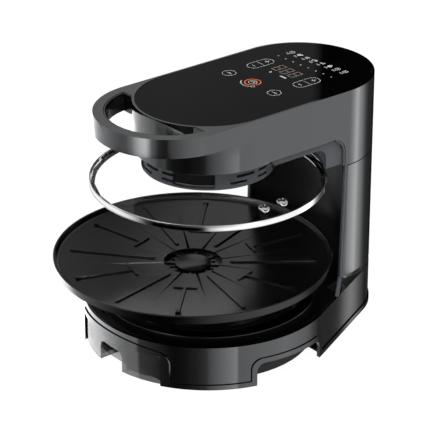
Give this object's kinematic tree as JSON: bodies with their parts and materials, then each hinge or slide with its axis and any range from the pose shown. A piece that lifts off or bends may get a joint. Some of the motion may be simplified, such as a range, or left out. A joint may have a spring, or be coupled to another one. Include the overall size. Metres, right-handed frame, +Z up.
{
  "type": "air fryer grill",
  "caption": "Countertop air fryer grill: hinged head with fan, heater and loop handle on a rear column, lift-off ribbed plate, glass lid, drip drawer and round base.",
  "frame": {"origin": "centre of the outline seen from above, on the plane that the feet stand on", "axes": "+X to the right seen from the handle side, +Y to the rear column, +Z up"},
  "size_m": [0.3, 0.3806, 0.2761],
  "materials": {
    "shell": "satin gunmetal grey coat",
    "slate": "fine matt slate grey",
    "deck": "fine matt black",
    "black_plastic": "matt black",
    "insert": "smooth black",
    "panel_glass": "polished black glass face",
    "non_stick": "black non-stick coat",
    "cap": "black non-stick coat",
    "clear_glass": "clear tempered glass",
    "chrome": "polished",
    "smoked": "smoked translucent plastic",
    "steel": "brushed",
    "aluminium": "mill finish",
    "element": "dark oxidised sheath",
    "rubber": "matt",
    "board": "green circuit board"
  },
  "bodies": {
    "stand": {"base_skirt": "shell", "base_deck": "deck", "well_ring": "non_stick", "heater_pan": "aluminium", "lower_element": "element", "drain_funnel": "aluminium", "base_floor": "black_plastic", "foot_1": "rubber", "foot_2": "rubber", "foot_3": "rubber", "foot_4": "rubber", "floor_screw_1": "steel", "floor_screw_2": "steel", "floor_screw_3": "steel", "floor_screw_4": "steel", "grip_scoop_right": "black_plastic", "grip_scoop_left": "black_plastic", "drawer_rail_right": "black_plastic", "drawer_rail_left": "black_plastic", "cord_gland": "rubber", "column_shell": "shell", "column_trim_right": "slate", "column_trim_left": "slate", "column_liner": "deck", "power_board": "board", "hinge_bracket": "steel", "hinge_pin": "steel"},
    "head": {"head_shell": "shell", "handle_insert": "insert", "control_glass": "panel_glass", "control_board": "board", "display_module": "black_plastic", "head_liner": "slate", "vent_ring": "slate", "heater_guard": "steel", "upper_element": "element", "heat_reflector": "aluminium", "temperature_probe": "steel", "motor_bracket": "steel", "fan_motor": "steel", "hinge_leaf": "steel"},
    "fan": {"fan_impeller": "aluminium", "motor_shaft": "steel", "cooling_fan": "black_plastic"},
    "plate": {"grill_plate": "non_stick"},
    "cap": {"drain_cap": "cap"},
    "lid": {"lid_pane": "clear_glass", "lid_rim": "chrome", "lid_seal": "rubber", "lid_stud_1": "chrome", "lid_stud_2": "chrome"},
    "drawer": {"drip_drawer": "smoked"}
  },
  "joints": [
    {"name": "head_tilt", "type": "hinge", "parent": "stand", "child": "head", "pos_m": [0, 0.18455, 0.1905], "axis": [-1, 0, 0], "range_deg": [0, 70]},
    {"name": "fan_spin", "type": "hinge", "parent": "head", "child": "fan", "pos_m": [0, -0.01895, 0.24], "axis": [0, 0, 1], "continuous": true},
    {"name": "plate_lift", "type": "slide", "parent": "stand", "child": "plate", "axis": [0, 0.3155, -0.9489], "range_m": [0, 0.0393]},
    {"name": "cap_lift", "type": "slide", "parent": "plate", "child": "cap", "axis": [0, 0, 1], "range_m": [0, 0.007]},
    {"name": "lid_lift", "type": "slide", "parent": "plate", "child": "lid", "axis": [0, -0.2538, -0.9672], "range_m": [0, 0.0843]},
    {"name": "drawer_slide", "type": "slide", "parent": "stand", "child": "drawer", "axis": [0, -1, 0], "range_m": [0, 0.12]}
  ]
}
